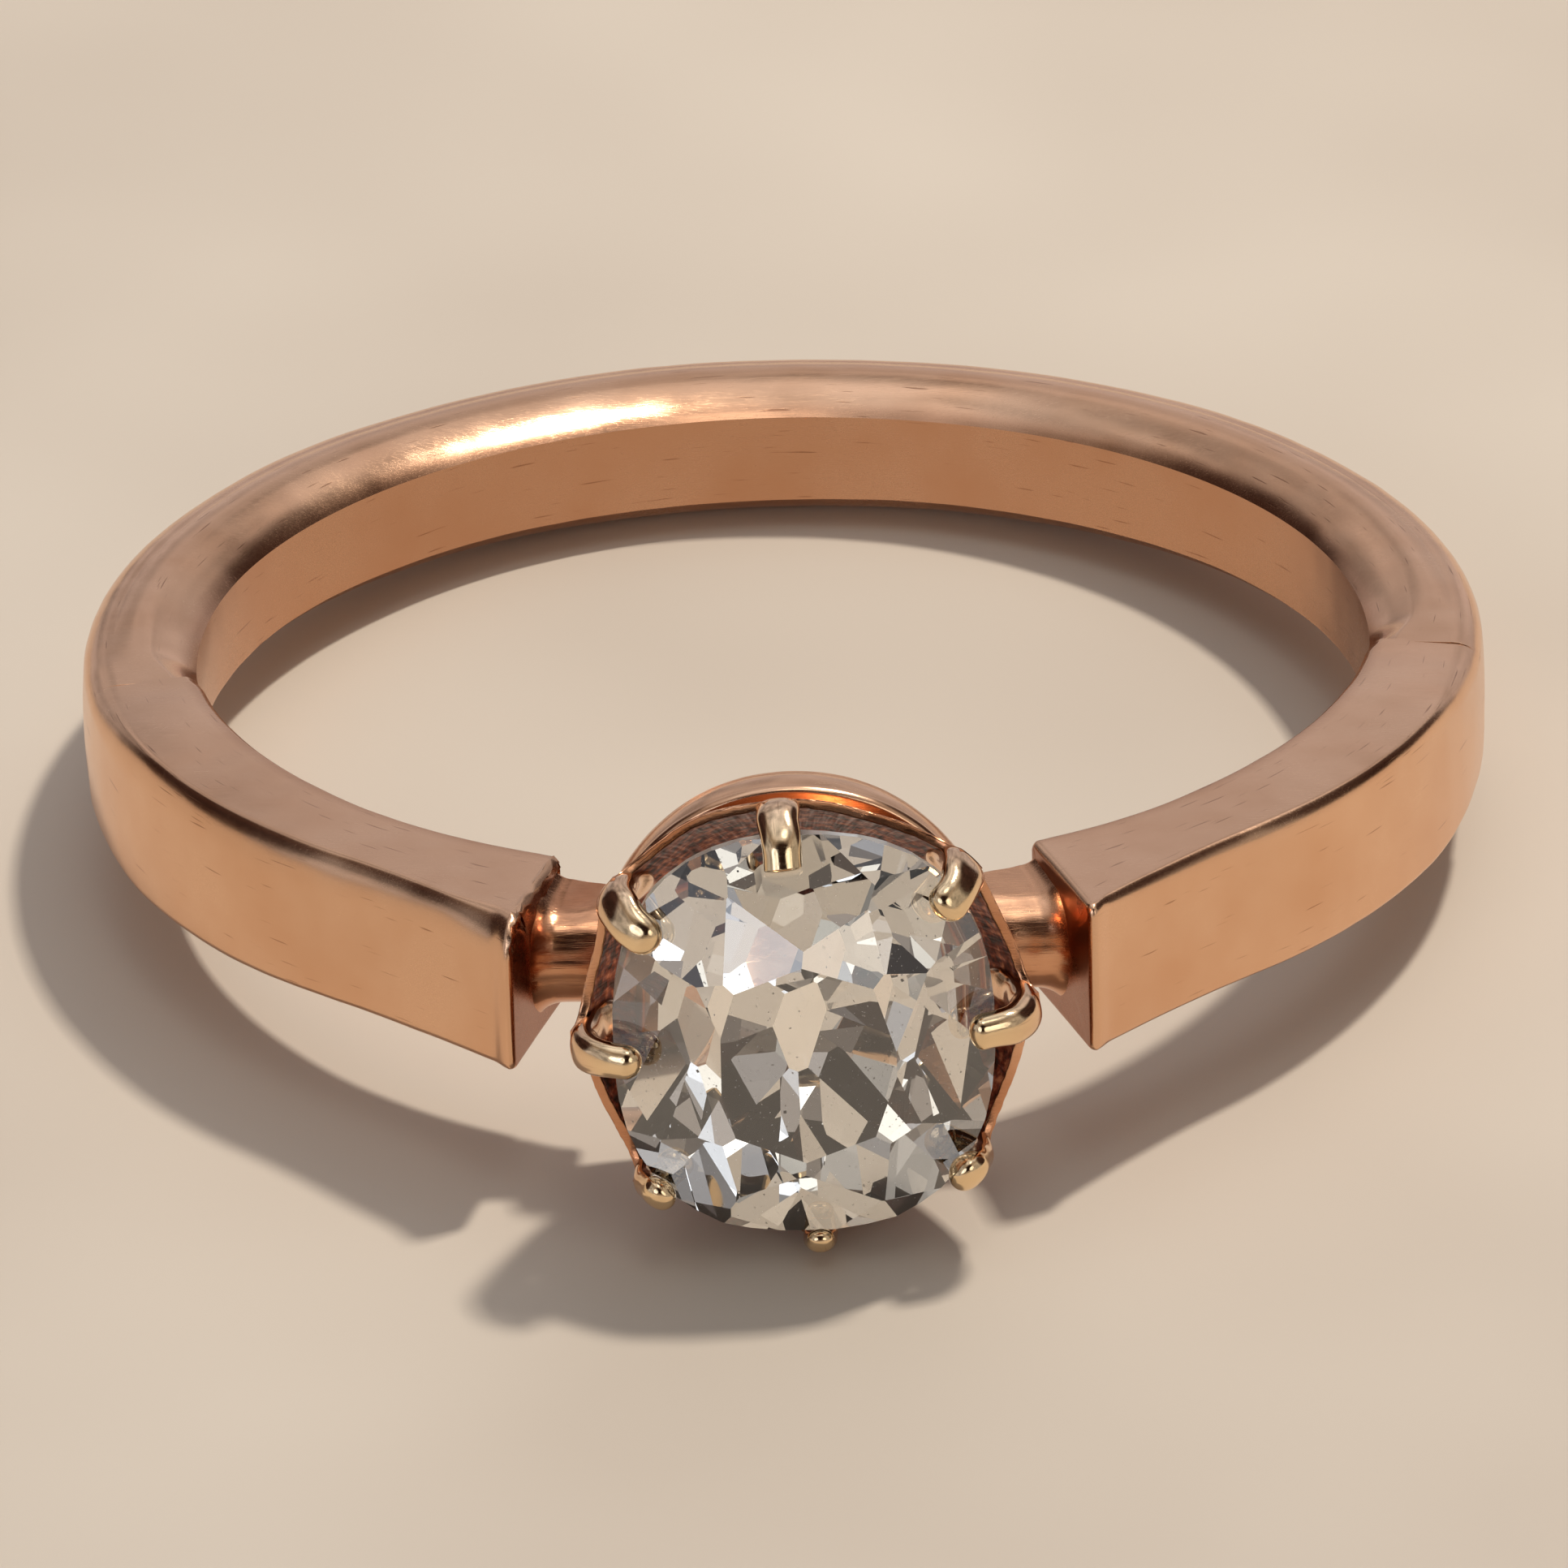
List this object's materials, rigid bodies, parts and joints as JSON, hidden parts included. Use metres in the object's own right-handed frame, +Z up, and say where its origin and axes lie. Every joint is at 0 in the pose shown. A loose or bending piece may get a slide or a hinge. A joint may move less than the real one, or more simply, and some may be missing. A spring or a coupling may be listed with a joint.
{
  "type": "engagement ring",
  "caption": "Rose-gold band with block shoulders and a scalloped coronet cup whose pale gold claws hold a cushion-shaped old mine cut diamond.",
  "frame": {"origin": "centre of the finger hole, half way across the band's width", "axes": "+Z along the finger hole, -Y from the finger towards the stone, +X to the right of somebody who looks at the stone; the ring lies on its side with +Z up"},
  "size_m": [0.0202, 0.0227, 0.0069],
  "materials": {
    "rose_gold": "polished, finely scratched by wear",
    "pale_gold": "polished",
    "diamond": "polished facets, faint yellow tint"
  },
  "bodies": {
    "root": {"shank": "rose_gold", "left_shoulder": "rose_gold", "right_shoulder": "rose_gold", "left_neck": "rose_gold", "right_neck": "rose_gold", "gallery_ring": "rose_gold", "coronet_cup": "rose_gold", "diamond": "diamond", "claw_1": "pale_gold", "claw_2": "pale_gold", "claw_3": "pale_gold", "claw_4": "pale_gold", "claw_5": "pale_gold", "claw_6": "pale_gold", "claw_7": "pale_gold", "claw_8": "pale_gold"}
  },
  "joints": []
}
